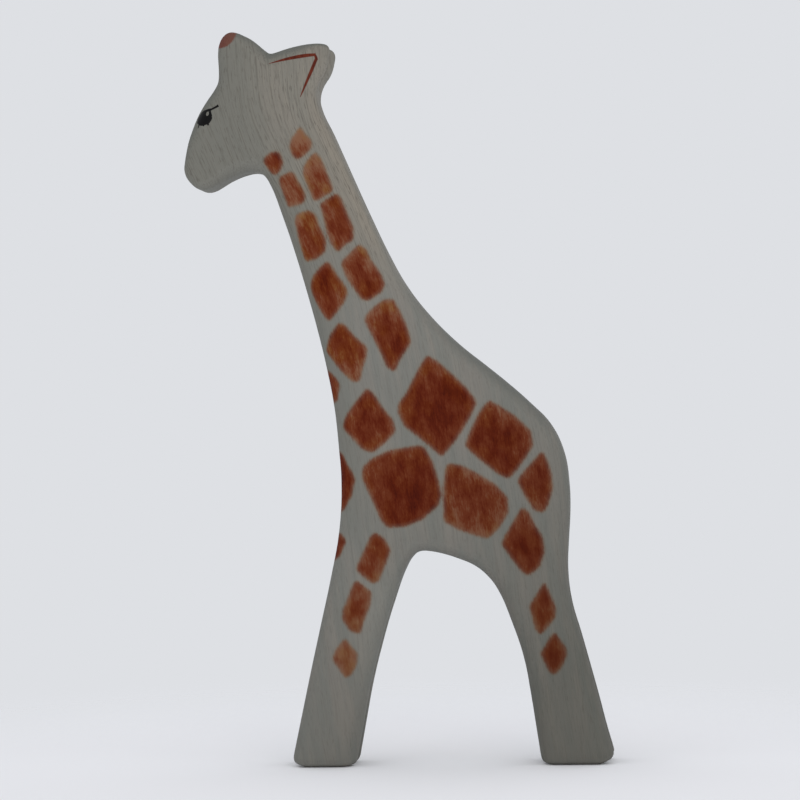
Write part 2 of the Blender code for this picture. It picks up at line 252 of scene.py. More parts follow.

# %% [markdown]
# ## The brushed coat
#
# The coat is rust-brown wood stain, laid on in blunt diamonds with a flat brush. Each patch is drawn here by its
# corners, read off the photograph, with how pale it dried and towards which side it thins out. Corners are
# softened by cutting them twice. What the texture needs is the depth inside the nearest patch, in millimetres, so
# that the edge can be as soft and ragged as stain in wood.

# %% Patches of the neck
# Each patch: how pale it is, how much paler towards the tail and upwards, and its corners in the picture.
NECK_PATCHES = {
    "cheek_drop": (0.57, 0.05, 0.36, ((300, 127.5), (304.5, 134.5), (311, 141), (311, 147), (306, 153), (298, 159),
                                      (293, 155), (290, 147), (292, 139), (296.5, 133.5))),
    "throat_dot": (0.20, -0.15, -0.10, ((275.5, 152), (279, 153), (282.5, 162), (281, 167.5), (277, 174),
                                        (271, 174), (267, 169), (264, 162), (265, 158), (271, 153))),
    "neck_top_rear": (0.51, -0.10, 0.15, ((315, 153), (319, 157), (324, 167.5), (332, 188), (331, 192),
                                          (325, 195), (319, 199), (314, 200), (311, 192), (304, 176),
                                          (304, 168.5), (307.5, 161))),
    "neck_top_front": (0.36, -0.08, -0.10, ((291, 172), (294, 175), (298, 183), (303, 190), (305, 199),
                                            (302, 203), (295.5, 205), (288, 206.5), (285, 199), (279, 182),
                                            (280, 177), (285, 175))),
    "neck_upper_rear": (0.19, -0.10, -0.12, ((336, 194), (340, 198), (345, 210), (353, 229), (352.5, 240),
                                             (345, 244), (338, 251.5), (332, 244), (328, 234), (324, 216),
                                             (320.5, 204), (328, 199))),
    "neck_upper_front": (0.34, -0.15, 0.20, ((308.5, 211), (315, 215), (318, 225), (325, 239), (325, 251),
                                             (316, 258.5), (305, 261), (302, 254), (298, 239), (295, 221),
                                             (297, 215), (302, 213))),
    "neck_middle_rear": (0.21, -0.12, 0.08, ((359, 245), (366, 250), (370, 260), (381, 275), (384, 284),
                                             (382, 291), (373, 297), (369, 300), (362, 299), (355, 289),
                                             (347, 277), (342, 265), (343, 261), (352, 252))),
    "neck_middle_front": (0.16, 0.10, 0.02, ((327, 262), (330, 265), (337, 276), (346, 288), (347, 293.5),
                                             (343, 303), (336, 312), (330, 320), (327, 319), (318, 307),
                                             (311, 295), (309, 287), (312, 278.5), (320, 268))),
    "neck_base_rear": (0.18, -0.12, 0.18, ((385, 300), (393, 300), (399, 311), (406, 326), (410.5, 342),
                                           (405, 351), (398, 362), (394.5, 371), (387.5, 367), (382, 354),
                                           (373, 336), (365, 320), (367, 315), (376, 306))),
    "neck_base_front": (0.26, 0.18, -0.08, ((339, 323), (345, 326), (354, 337), (366, 347), (366, 355.5),
                                            (362, 368), (359, 381), (353, 381), (344, 373), (332.5, 360),
                                            (324, 352), (326, 345), (332.5, 332.5))),
}
print(len(NECK_PATCHES), "patches on the neck")

# %% Patches of the trunk
TRUNK_PATCHES = {
    "shoulder_front": (0.16, 0.08, -0.06, ((367, 389), (373, 394), (382, 408), (392, 420), (395, 431),
                                           (386, 441), (373, 452), (363, 449), (352, 437), (342, 428),
                                           (344, 420), (354, 405))),
    "withers": (0.07, -0.06, 0.05, ((427, 356), (438, 362.5), (453, 376), (466.5, 389), (476, 402), (472, 412),
                                    (463, 428), (453, 443), (441.6, 456), (434, 449), (422, 439), (405, 426),
                                    (398.5, 412), (398.5, 405), (407, 393), (418.6, 370))),
    "back": (0.14, 0.02, 0.14, ((489, 401), (499, 406.5), (514, 416), (530, 431), (532.5, 445), (526, 456),
                                (516, 470), (508.5, 478), (499, 474), (484, 462), (472, 452), (465.5, 445),
                                (470, 433), (480, 412))),
    "rump": (0.20, 0.05, -0.05, ((542, 452), (547, 462), (551, 475), (552, 489), (547, 506), (543, 512),
                                 (535, 510), (526, 496.5), (518, 481), (524, 472), (533, 462))),
    "belly_front": (0.12, -0.12, 0.12, ((407, 448), (419, 446), (424, 448), (432, 462), (438, 481),
                                        (441, 496.5), (437, 506), (422, 519), (405, 526), (388, 527),
                                        (382, 521), (373, 500), (363, 479), (363, 468), (371, 460),
                                        (388, 451.5))),
    "belly_rear": (0.36, 0.08, -0.05, ((449, 464), (461, 466), (476, 473.5), (495, 485), (507, 498), (508, 512),
                                       (499, 527), (487.5, 538), (476, 535), (459, 529), (444.5, 521),
                                       (444, 502), (444.5, 487), (446, 468))),
    "thigh": (0.15, -0.05, 0.06, ((522, 508), (528, 512), (533, 523), (542, 537), (544, 552), (539, 567),
                                  (528, 575), (522, 571), (512, 558), (502, 544), (505, 537), (512, 525))),
}
print(len(TRUNK_PATCHES), "patches on the trunk")

# %% Patches of the legs, and those that wrap round the breast
LEG_PATCHES = {
    "foreleg_top": (0.30, -0.04, -0.08, ((374.5, 533), (383, 538), (390, 550), (386, 561.5), (378, 581),
                                         (373, 583), (366, 578), (357, 570), (358, 565), (366, 548),
                                         (371, 537))),
    "foreleg_middle": (0.36, -0.02, -0.12, ((356, 581), (363, 586), (371, 593), (369.5, 605), (363, 621),
                                            (360, 633), (351, 631), (343, 619.5), (343, 611), (348, 600),
                                            (353, 586))),
    "foreleg_knee": (0.64, 0.06, 0.02, ((345, 639), (350, 646), (357, 654), (356, 664), (351, 674),
                                        (346, 677.5), (340, 669), (333, 659), (336, 651))),
    "hock_top": (0.30, -0.10, -0.16, ((544, 583), (547, 589), (552, 600), (555, 607), (555, 616.5), (547, 627),
                                      (541, 634), (536.5, 630), (533.5, 620), (530, 606), (535, 598),
                                      (540, 590.5))),
    "hock_low": (0.22, 0.10, -0.02, ((555, 633), (558, 638), (566, 649), (566, 656), (561, 667), (555, 674),
                                     (550, 672), (545, 662), (541, 653), (546, 646), (550, 638))),
}
BREAST_PATCHES = {
    "breast_top": (0.08, 0.10, 0.0, ((326, 373), (335.5, 379.7), (339, 387), (336, 393), (334.5, 400.8),
                                     (326, 403.5), (306, 405), (300, 388), (305, 371))),
    "breast_middle": (0.0, 0.10, 0.0, ((338, 454), (344.5, 463), (351, 472), (354.8, 480), (352.5, 486),
                                        (351, 496), (347, 500.5), (342.5, 508), (332, 512), (308, 514),
                                        (302, 482), (308, 450))),
    "breast_low": (0.05, 0.10, 0.0, ((337, 534), (345, 541), (341, 548), (337, 556), (328, 559), (308, 560),
                                     (302, 546), (308, 532))),
}
print(len(LEG_PATCHES), "patches on the legs and", len(BREAST_PATCHES), "round the breast")


# %% Soften and measure an outline
CORNER_CUTS = (0.7, 0.3)        # mm, at most, in the first and the second round
MOST_CUT = 0.25                 # share of a side that is cut at each end, at most


def softened(corners):
    """Cut each corner of a closed outline twice, and never far along its sides."""
    outline = np.array(corners, float)
    for cut in CORNER_CUTS:
        side = np.roll(outline, -1, axis=0) - outline
        share = np.minimum(MOST_CUT, cut / np.hypot(side[:, 0], side[:, 1]))[:, None]
        outline = np.stack([outline + share * side, outline + (1.0 - share) * side], 1).reshape(-1, 2)
    return outline


def depth_inside(places, outline):
    """How deep each place lies inside a closed outline, in its own unit, and below zero outside it."""
    nearest = np.full(len(places), np.inf)
    inside = np.zeros(len(places), bool)
    for start, end in zip(outline, np.roll(outline, -1, axis=0)):
        side = end - start
        along = np.clip((places - start) @ side / (side @ side), 0.0, 1.0)
        nearest = np.minimum(nearest, np.hypot(*(places - start - along[:, None] * side).T))
        crosses = (places[:, 1] < start[1]) != (places[:, 1] < end[1])
        rise = np.where(side[1] == 0.0, 1.0, side[1])       # a level side is never crossed, so 1 does no harm
        inside ^= crosses & (places[:, 0] < start[0] + (places[:, 1] - start[1]) * side[0] / rise)
    return np.where(inside, nearest, -nearest)


square = np.array([(0.0, 0.0), (10.0, 0.0), (10.0, 10.0), (0.0, 10.0)])
print("the middle of a 10 mm square lies", depth_inside(np.array([(5.0, 5.0)]), square)[0], "mm deep in it")

# %% Lay the coat on both faces
REACH = 6.0                     # mm round a patch within which its distance is worth measuring
HAND_SHIFT = 0.8                # mm by which the far face's patches stray from the near face's
HAND_TURN = math.radians(4.0)
HAND_SIZE = 0.04
MIDDLE_PALE = 0.4               # how pale the stain would be out of reach of every patch

hand = random.Random(7)
stain_depth = np.full(count, -REACH)
stain_pale = np.full(count, MIDDLE_PALE)
near_side = points[:, 1] < 0.0
patches = {**NECK_PATCHES, **TRUNK_PATCHES, **LEG_PATCHES, **BREAST_PATCHES}
for name, (pale, pale_x, pale_z, corners) in patches.items():
    outline = softened([on_board(*corner) for corner in corners])
    middle = outline.mean(axis=0)
    half_size = np.ptp(outline, axis=0).max() / 2.0
    for side in (near_side, ~near_side):
        drawn = outline
        if side is not near_side and name not in BREAST_PATCHES:
            turn = hand.uniform(-HAND_TURN, HAND_TURN)
            size = 1.0 + hand.uniform(-HAND_SIZE, HAND_SIZE)
            shift = np.array([hand.uniform(-HAND_SHIFT, HAND_SHIFT), hand.uniform(-HAND_SHIFT, HAND_SHIFT)])
            spin = np.array([[math.cos(turn), -math.sin(turn)], [math.sin(turn), math.cos(turn)]])
            drawn = (outline - middle) @ spin.T * size + middle + shift
        near = side & ~bare & (np.abs(unrolled - middle).max(axis=1) < half_size + REACH)
        chosen = np.flatnonzero(near)
        inside_by = depth_inside(unrolled[chosen], drawn)
        closer = inside_by > stain_depth[chosen]
        chosen, inside_by = chosen[closer], inside_by[closer]
        stain_depth[chosen] = inside_by
        offset = (unrolled[chosen] - middle) / half_size
        stain_pale[chosen] = pale + pale_x * offset[:, 0] + pale_z * offset[:, 1]
keep("stain_depth_mm", stain_depth)
keep("stain_pale", stain_pale)
print(f"the coat covers {100.0 * (stain_depth > 0.0).mean():.0f} % of the figure")

# %% [markdown]
# ## Colours
#
# A colour is written as it is picked from a colour chart, in sRGB, and one function turns it into the linear
# numbers that Blender lights with. A second one adds a node to a material and joins up its inputs.


# %% Turn a chart colour to linear
MAPLE = "797a75"                # the bare board


def linear(chart):
    """A six-figure sRGB colour as the linear red, green, blue and alpha that a shader takes."""
    parts = [int(chart[i:i + 2], 16) / 255.0 for i in (0, 2, 4)]
    return tuple(part / 12.92 if part <= 0.04045 else ((part + 0.055) / 1.055) ** 2.4 for part in parts) + (1.0,)


print("maple", MAPLE, "is linear", [round(part, 3) for part in linear(MAPLE)])


# %% Add a node
def add(tree, kind, *inputs, named=None, **settings):
    """Add one node, set it up, and link or fill its inputs, in order or by name."""
    node = tree.nodes.new(kind)
    for name, value in settings.items():
        setattr(node, name, value)
    wanted = list(zip([socket for socket in node.inputs if socket.enabled], inputs))
    wanted += [(node.inputs[name], value) for name, value in (named or {}).items()]
    for socket, value in wanted:
        if isinstance(value, bpy.types.Node):
            value = next(output for output in value.outputs if output.enabled)
        if isinstance(value, bpy.types.NodeSocket):
            tree.links.new(value, socket)
        else:
            socket.default_value = value
    return node


ATTRIBUTE = "ShaderNodeAttribute"
MATH = "ShaderNodeMath"
VECTOR = "ShaderNodeVectorMath"
RANGE = "ShaderNodeMapRange"
MIX = "ShaderNodeMix"
NOISE = "ShaderNodeTexNoise"
SPLIT = "ShaderNodeSeparateXYZ"
EASED = "SMOOTHSTEP"            # a range that starts and ends gently
print("most of the material is drawn with", ", ".join((MATH, RANGE, MIX)))

# %% [markdown]
# ## Oiled maple
#
# The board is a pale, close-grained wood such as maple or sycamore, sanded by hand and wiped with oil. The eye
# sees broad soft bands, hair-thin darker lines where each year's growth ends, and short fibres and pores between
# them. Where the surface cuts across the fibres, as on the forehead and on top of the ears, the end grain drinks
# more oil and turns darker and cooler. The undersides are painted a little paler, as painted light that lifts
# their shade. The board itself changes too: the back of the neck is paler and warmer, partly as sapwood and
# partly as painted light, and the muzzle and throat come from nearer the grey heart.

# %% Start the wood
wood = bpy.data.materials.new("hand_sanded_oiled_maple")
wood.use_nodes = True
tree = wood.node_tree
tree.nodes.clear()
grain = add(tree, ATTRIBUTE, attribute_name="grain_mm").outputs["Vector"]
place = add(tree, ATTRIBUTE, attribute_name="unrolled_mm").outputs["Vector"]
stain = add(tree, ATTRIBUTE, attribute_name="stain_depth_mm").outputs["Fac"]
pale = add(tree, ATTRIBUTE, attribute_name="stain_pale").outputs["Fac"]
end_grain = add(tree, ATTRIBUTE, attribute_name="end_grain").outputs["Fac"]
across = add(tree, SPLIT, grain).outputs["X"]
board_x, board_depth, board_z = add(tree, SPLIT, place).outputs[:]
print("wood reads", len(tree.nodes), "nodes so far")


# %% Fibres and bands
CALM_BELOW = 205.0              # mm above the floor: the grain is calm on the trunk and legs
LIVELY_ABOVE = 262.0            # and lively on the head
CALM_GRAIN = 0.40               # its strength where it is calm


def fibres(width, length, detail=2.0, roughness=0.5):
    """Noise from 0 to 1 whose spots are so many mm wide across the fibres, and so long along them."""
    stretched = add(tree, VECTOR, grain, (1.0 / width, 1.0 / width, 1.0 / length), operation="MULTIPLY")
    return add(tree, NOISE, stretched, 1.0, detail, roughness)


broad_bands = fibres(6.5, 45.0)
flames = fibres(2.6, 26.0, detail=1.0)
streaks = fibres(0.60, 10.0, detail=3.0, roughness=0.65)
pores = fibres(0.50, 4.5)
line_breaks = fibres(0.9, 8.0)
ring_wobble = fibres(16.0, 90.0)
grain_strength = add(tree, RANGE, board_z, CALM_BELOW, LIVELY_ABOVE, CALM_GRAIN, 1.0, interpolation_type=EASED)
print("with the fibres and bands:", len(tree.nodes), "nodes")

# %% Growth lines
YEAR_WIDTH = 4.0                # mm from one strong line to the next
FINE_WIDTH = 1.5                # and from one fine line to the next
LINE_DARKEST = (0.92, 0.94)     # shares of that width between which a line is darkest
LINE_END = 0.995                # and where it has gone
BREAK_FADE = 0.2                # rise of the noise over which a broken line comes back


def ring_lines(width, wobble, rise, breaks):
    """Thin dark lines, soft on one side and sharp on the other, that fade out here and there."""
    years = add(tree, MATH, ring_wobble, wobble, add(tree, MATH, across, width, operation="DIVIDE"),
                operation="MULTIPLY_ADD")
    phase = add(tree, MATH, years, operation="FRACT")
    unbroken = add(tree, RANGE, line_breaks, breaks, breaks + BREAK_FADE, 0.0, grain_strength,
                   interpolation_type=EASED)
    soft_side = add(tree, RANGE, phase, rise, LINE_DARKEST[0], 0.0, unbroken, interpolation_type=EASED)
    return add(tree, RANGE, phase, LINE_END, LINE_DARKEST[1], 0.0, soft_side, interpolation_type=EASED)


year_lines = ring_lines(YEAR_WIDTH, wobble=3.0, rise=0.78, breaks=0.32)
fine_lines = ring_lines(FINE_WIDTH, wobble=7.0, rise=0.55, breaks=0.42)
pore_dashes = add(tree, RANGE, pores, 0.56, 0.68, 0.0, grain_strength, interpolation_type=EASED)
print("growth lines every", YEAR_WIDTH, "and", FINE_WIDTH, "mm")

# %% Zones of the board
# Each pair is where a zone starts and where it is full, in mm: up from the floor, across the grain, or out from
# the board's middle.
HEART_UP, HEART_ACROSS = (92.0, 135.0), (-49.0, -79.0)          # the muzzle and the neck's front edge, greyer
SAPWOOD_AND_LIGHT_UP, SAPWOOD_AND_LIGHT_DOWN = (208.0, 250.0), (322.0, 288.0)       # the neck's back edge, paler and warmer: partly sapwood, partly painted light
SAPWOOD_AND_LIGHT_ACROSS, SAPWOOD_AND_LIGHT_OUT = (-46.0, -34.0), (7.5, 12.5)
LEG_DOWN = (98.0, 72.0)                                         # the rear half of the front leg, paler
LEG_IN, LEG_OUT = (-84.0, -66.0), (-30.0, -45.0)
WARM_UP, WARM_MOST = (190.0, 262.0), 0.40                       # the neck and head, warmer

heart = add(tree, RANGE, board_z, *HEART_UP, interpolation_type=EASED)
heart = add(tree, RANGE, across, *HEART_ACROSS, 0.0, heart, interpolation_type=EASED)
# Partly pale sapwood and partly painted light: the back of the neck is painted paler and warmer where it turns to
# the light.
sapwood_and_light = add(tree, RANGE, board_z, *SAPWOOD_AND_LIGHT_UP, interpolation_type=EASED)
sapwood_and_light = add(tree, RANGE, board_z, *SAPWOOD_AND_LIGHT_DOWN, 0.0, sapwood_and_light, interpolation_type=EASED)
sapwood_and_light = add(tree, RANGE, across, *SAPWOOD_AND_LIGHT_ACROSS, 0.0, sapwood_and_light, interpolation_type=EASED)
sapwood_and_light = add(tree, RANGE, board_depth, *SAPWOOD_AND_LIGHT_OUT, 0.0, sapwood_and_light, interpolation_type=EASED)
pale_leg = add(tree, RANGE, board_z, *LEG_DOWN, interpolation_type=EASED)
pale_leg = add(tree, RANGE, across, *LEG_IN, 0.0, pale_leg, interpolation_type=EASED)
pale_leg = add(tree, RANGE, across, *LEG_OUT, 0.0, pale_leg, interpolation_type=EASED)
warm = add(tree, RANGE, board_z, *WARM_UP, 0.0, WARM_MOST, interpolation_type=EASED)
print("with the zones:", len(tree.nodes), "nodes")

# %% Bare wood colour
# A noise lies between 0 and 1 and mostly near 0.5; end grain is 0 along the fibres, 1 cut square across them on
# top and -1 underneath. The two numbers of each line are where a tone starts and where it is full.
cream_streaks = add(tree, RANGE, streaks, 0.50, 0.75, 0.0, grain_strength, interpolation_type=EASED)
dark_streaks = add(tree, RANGE, streaks, 0.50, 0.25, 0.0, grain_strength, interpolation_type=EASED)
open_ends = add(tree, RANGE, end_grain, 0.12, 0.92, interpolation_type=EASED)
# Painted light: the undersides, which face away from the light, are painted a little paler to lift their shade.
painted_underside_light = add(tree, RANGE, end_grain, -0.05, -0.42, interpolation_type=EASED)
bands = add(tree, RANGE, broad_bands, 0.30, 0.70, interpolation_type=EASED)
pink_flames = add(tree, RANGE, flames, 0.48, 0.72, interpolation_type=EASED)

bare_wood = linear(MAPLE)
# Each tone goes over those before it: how strong it gets, and its colour.
for layer, strength, chart in ((bands, 0.85, "817e78"), (pink_flames, 0.28, "8c877f"), (warm, 1.0, "857f73"),
                               (cream_streaks, 0.38, "948e80"), (dark_streaks, 0.36, "686660"),
                               (heart, 0.75, "6f706a"), (pale_leg, 0.38, "8e8f89"), (sapwood_and_light, 0.75, "91897d"),
                               (year_lines, 0.30, "55524b"), (fine_lines, 0.36, "5a564e"),
                               (pore_dashes, 0.54, "57534c"), (open_ends, 0.70, "595d59"),
                               (painted_underside_light, 0.13, "969792")):
    share = add(tree, MATH, layer, strength, operation="MULTIPLY")
    bare_wood = add(tree, MIX, share, bare_wood, linear(chart), data_type="RGBA")
print("with the bare wood's colour:", len(tree.nodes), "nodes")

# %% [markdown]
# ## Stain
#
# Wood stain dries a little darker towards the middle of a patch, and it shows streaks and specks along the grain,
# where open fibres take more of it. Here and there it leans to ochre, more on the neck and trunk than on the
# legs, where the streaks are calmer too. At its edge it lets some bare wood through, creeps a little way along the
# fibres and tints the wood beyond for a millimetre or two.

# %% Stain edge
CREEP = 1.8                     # mm that the stain's edge wanders along the fibres
EDGE_FADE = (-1.0, 0.50)        # mm inside the wandering edge where the stain starts and where it covers
EDGE_COVER = 0.82               # how much it covers at the edge
COVER_FULL = 1.9                # mm inside the edge where it covers all the wood
SEEP = 1.7                      # mm that a faint tint reaches beyond the edge

bleed = add(tree, MATH, fibres(0.7, 2.4, detail=3.0, roughness=0.6), 0.5, operation="SUBTRACT")
ragged = add(tree, MATH, bleed, CREEP, stain, operation="MULTIPLY_ADD")
most = add(tree, RANGE, stain, 0.0, COVER_FULL, EDGE_COVER, 1.0, interpolation_type=EASED)
stained = add(tree, RANGE, ragged, *EDGE_FADE, 0.0, most, interpolation_type=EASED)
seeped = add(tree, RANGE, stain, -SEEP, 0.0, interpolation_type=EASED)
print("stain creeps", CREEP, "mm and seeps", SEEP, "mm")

# %% Depth of the stain
POOLED = (-0.3, 8.0)            # mm inside the edge: from the palest rim to where the brush left most stain
RIM_PALER, POOL_DARKER = 0.25, -0.03
LEGS_TO_TRUNK = (75.0, 125.0)   # mm above the floor

brush_streaks = fibres(0.75, 4.5, detail=4.0, roughness=0.7)
blotches = fibres(4.5, 9.0)
specks = fibres(0.55, 1.1, detail=1.0)
pooled = add(tree, RANGE, ragged, *POOLED, RIM_PALER, POOL_DARKER, interpolation_type=EASED)
lightness = add(tree, MATH, pale, pooled, operation="ADD")
# Each cause lightens the stain by so much on the trunk and neck, and by so much on the legs. Pores darken it.
for cause, reach, leg_reach in ((brush_streaks, 0.80, 0.45), (blotches, 1.45, 1.35), (specks, 0.45, 0.20),
                                (pores, -0.55, -0.30)):
    swing = add(tree, MATH, cause, 0.5, operation="SUBTRACT")
    reach_here = add(tree, RANGE, board_z, *LEGS_TO_TRUNK, leg_reach, reach, interpolation_type=EASED)
    lightness = add(tree, MATH, swing, reach_here, lightness, operation="MULTIPLY_ADD")
print("stain pools", POOLED[1], "mm inside its edge")

# %% Colour of the stain
OCHRE_UP = (110.0, 190.0)       # mm above the floor: the stain leans more to ochre from here to here
OCHRE_LEAST, OCHRE_MOST = 0.30, 0.68

stain_colour = linear("451107")
for low, high, chart in ((-0.36, 0.04, "5a1e0b"), (0.04, 0.44, "6b331d"), (0.44, 0.94, "805943")):
    thinned = add(tree, RANGE, lightness, low, high)
    stain_colour = add(tree, MIX, thinned, stain_colour, linear(chart), data_type="RGBA")
most_ochre = add(tree, RANGE, board_z, *OCHRE_UP, OCHRE_LEAST, OCHRE_MOST, interpolation_type=EASED)
ochre = add(tree, RANGE, fibres(8.0, 10.0), 0.44, 0.62, 0.0, most_ochre, interpolation_type=EASED)
stain_colour = add(tree, MIX, ochre, stain_colour, linear("fffdac"), data_type="RGBA", blend_type="MULTIPLY")
seeped_wood = add(tree, MIX, seeped, bare_wood, linear("fbe9dc"), data_type="RGBA", blend_type="MULTIPLY")
coloured = add(tree, MIX, stained, seeped_wood, stain_colour, data_type="RGBA")
print("with the stain:", len(tree.nodes), "nodes")

# %% [markdown]
# ## Horn tip, ear line and eye
#
# The horn tip is dipped in thinner stain, and two quick tapering strokes that meet at its tip draw the ear. The
# eye is black paint: one blob on the rounded cheek edge with a lid line above it, and a small spot left bare as
# its glint. They are drawn from distances on the unrolled surface, so they stay crisp however close the camera
# comes. Only the dip, which wets the horn from all sides at once, is measured straight through the board.

# %% Round spots
flat = add(tree, VECTOR, place, (1.0, 0.0, 1.0), operation="MULTIPLY")
brush_edge = add(tree, MATH, fibres(0.6, 0.9), 0.5, operation="SUBTRACT")


def apart(spot, squeeze_x=1.0, squeeze_z=1.0, surface=flat):
    """The distance in mm from a place of the photograph, with each direction scaled."""
    x, z = on_board(*spot)
    away = add(tree, VECTOR, surface, (x, 0.0, z), operation="SUBTRACT")
    scaled = add(tree, VECTOR, away, (squeeze_x, 0.0, squeeze_z), operation="MULTIPLY")
    return add(tree, VECTOR, scaled, operation="LENGTH")


print(f"a spot that is 1 mm off its place is {1.0 / pixel_mm:.1f} pixels off in the photograph")


# %% Tapering strokes
STROKE_END = 0.01               # share of its length over which a stroke ends


def stroke(start, end, start_width, end_width, swell=0.0, bow=0.0, soft=0.18):
    """A brush stroke between two places of the photograph; its widths, swelling, bow and soft edge are in mm."""
    first, last = (Vector(on_board(*spot)) for spot in (start, end))
    length = (last - first).length
    run_x, run_z = (last - first) / length
    away = add(tree, VECTOR, flat, (first.x, 0.0, first.y), operation="SUBTRACT")
    share = add(tree, VECTOR, away, (run_x / length, 0.0, run_z / length), operation="DOT_PRODUCT")
    aside = add(tree, VECTOR, away, (-run_z, 0.0, run_x), operation="DOT_PRODUCT")
    # The arch is 0 at both ends and a quarter in the middle, so four times it gives all of the bow there.
    arch = add(tree, MATH, share, add(tree, MATH, 1.0, share, operation="SUBTRACT"), operation="MULTIPLY")
    aside = add(tree, MATH, arch, -4.0 * bow, aside, operation="MULTIPLY_ADD")
    aside = add(tree, MATH, aside, operation="ABSOLUTE")
    reach = add(tree, MATH, share, (end_width - start_width) / 2.0, start_width / 2.0, operation="MULTIPLY_ADD")
    reach = add(tree, MATH, arch, 2.0 * swell, reach, operation="MULTIPLY_ADD")
    body = add(tree, RANGE, add(tree, MATH, reach, aside, operation="SUBTRACT"), -soft, soft,
               interpolation_type=EASED)
    body = add(tree, RANGE, share, -STROKE_END, STROKE_END, 0.0, body)
    return add(tree, RANGE, share, 1.0 + STROKE_END, 1.0 - STROKE_END, 0.0, body)


def joined(*strokes):
    """Strokes painted over each other."""
    whole = strokes[0]
    for other in strokes[1:]:
        whole = add(tree, MATH, whole, other, operation="MAXIMUM")
    return whole


print("a stroke ends over", STROKE_END, "of its length")

# %% Dip the horn
HORN_SPOT = (220.0, 32.0)
HORN_DIP = 7.1                  # mm from the horn's front corner to the edge of the dip
HORN_RAGGED = 1.3               # mm that this edge wanders
HORN_SOFT = (-0.4, 0.5)         # mm inside it where the stain starts and where it covers
HORN_SHADE = (-83.0, -70.0)     # mm of x, from its darker front to its paler back
HORN_SPECKS = 0.9               # how much the specks add to that

through_board = add(tree, VECTOR, add(tree, "ShaderNodeTexCoord").outputs["Object"], (MM, 0.0, MM),
                    operation="MULTIPLY")
horn_inside = add(tree, MATH, HORN_DIP, apart(HORN_SPOT, surface=through_board), operation="SUBTRACT")
horn_inside = add(tree, MATH, brush_edge, HORN_RAGGED, horn_inside, operation="MULTIPLY_ADD")
horn_dip = add(tree, RANGE, horn_inside, *HORN_SOFT, interpolation_type=EASED)
horn_far = add(tree, RANGE, board_x, *HORN_SHADE)
horn_shade = add(tree, MATH, add(tree, MATH, specks, 0.5, operation="SUBTRACT"), HORN_SPECKS, horn_far,
                 operation="MULTIPLY_ADD")
horn_colour = add(tree, MIX, horn_shade, linear("5f2c29"), linear("6a473c"), data_type="RGBA")
coloured = add(tree, MIX, horn_dip, coloured, horn_colour, data_type="RGBA")
print("horn dipped for", HORN_DIP, "mm")

# %% Draw the ear
EAR_LINE_OUT = (9.0, 10.5)      # mm from the board's middle: the line is on the ear's side, not on its edge

ear_top = stroke((268.5, 63.4), (315.8, 54.6), 0.15, 1.15, swell=0.95, bow=0.65)
ear_corner = stroke((314.2, 54.0), (316.4, 60.5), 1.0, 1.45, bow=0.25)
ear_rear = stroke((316.6, 58.0), (300.2, 97.0), 1.35, 0.25, swell=0.55, bow=0.05)
on_side = add(tree, RANGE, board_depth, *EAR_LINE_OUT, interpolation_type=EASED)
ear_line = add(tree, MATH, joined(ear_top, ear_corner, ear_rear), on_side, operation="MULTIPLY")
ear_wet = add(tree, RANGE, brush_streaks, 0.3, 0.7, interpolation_type=EASED)
ear_colour = add(tree, MIX, ear_wet, linear("4b190f"), linear("692d1c"), data_type="RGBA")
coloured = add(tree, MIX, ear_line, coloured, ear_colour, data_type="RGBA")
print("ear drawn")

# %% Paint the eye
EYE_SPOT = (202.2, 117.3)
EYE_RADIUS = 3.60               # mm
EYE_WRAP = 0.80                 # the blob is wider round the edge than it is tall
EYE_RAGGED = 0.9                # mm that its edge wanders
EYE_SOFT = 0.15                 # mm to either side of a painted edge over which it fades
EYE_OUT = (5.0, 6.0)            # mm from the board's middle: the paint ends before it meets the other eye
GLINT_SPOT = (206.6, 113.2)
GLINT_RADIUS = 0.90

eye_inside = add(tree, MATH, EYE_RADIUS, apart(EYE_SPOT, squeeze_x=EYE_WRAP), operation="SUBTRACT")
eye_inside = add(tree, MATH, brush_edge, EYE_RAGGED, eye_inside, operation="MULTIPLY_ADD")
eye_blob = add(tree, RANGE, eye_inside, -EYE_SOFT, EYE_SOFT, interpolation_type=EASED)
glint = apart(GLINT_SPOT, squeeze_x=1.15, squeeze_z=0.85)
blob = add(tree, RANGE, glint, GLINT_RADIUS - EYE_SOFT, GLINT_RADIUS + EYE_SOFT, 0.0, eye_blob,
           interpolation_type=EASED)
lid = stroke((197.5, 111.5), (210.8, 109.2), 1.9, 1.15, bow=0.20, soft=EYE_SOFT)
lid_tail = stroke((209.8, 109.4), (218.4, 105.4), 1.10, 1.20, swell=-0.18, bow=-0.15, soft=EYE_SOFT)
corner = stroke((209.2, 109.8), (210.8, 116.0), 1.0, 1.2, soft=EYE_SOFT)
lash = stroke((197.6, 121.0), (196.4, 127.4), 1.0, 0.5, soft=EYE_SOFT)
drips = joined(stroke((202.0, 122.0), (203.6, 126.2), 2.6, 0.4, soft=EYE_SOFT),
               stroke((206.8, 121.0), (208.4, 125.4), 2.2, 0.5, soft=EYE_SOFT))
outer_part = add(tree, RANGE, board_depth, *EYE_OUT, interpolation_type=EASED)
eye = add(tree, MATH, joined(blob, lid, lid_tail, corner, lash, drips), outer_part, operation="MULTIPLY")
coloured = add(tree, MIX, eye, coloured, linear("070707"), data_type="RGBA")
print("eye painted", 2.0 * EYE_RADIUS, "mm tall")

# %% Finish the surface
PAINTED_SHADE_RAMP = (-240.0, 33.0)      # mm of x less z: painted shade, the figure darkening slowly from the crown to the hind feet
PAINTED_SHADE_CURVE = 1.85          # and faster towards these
WOOD_ROUGHNESS, EYE_ROUGHNESS = 0.65, 0.42
OILED_GLOSS, STAINED_GLOSS = 0.15, 0.06
OILED_IOR = 1.45
GRAIN_RELIEF = 0.00003          # m that the fibres stand proud after sanding
GRAIN_BUMP = 0.6                # and how strongly that shows
PORE_RELIEF = 0.6               # how much the pores add to the relief of the streaks
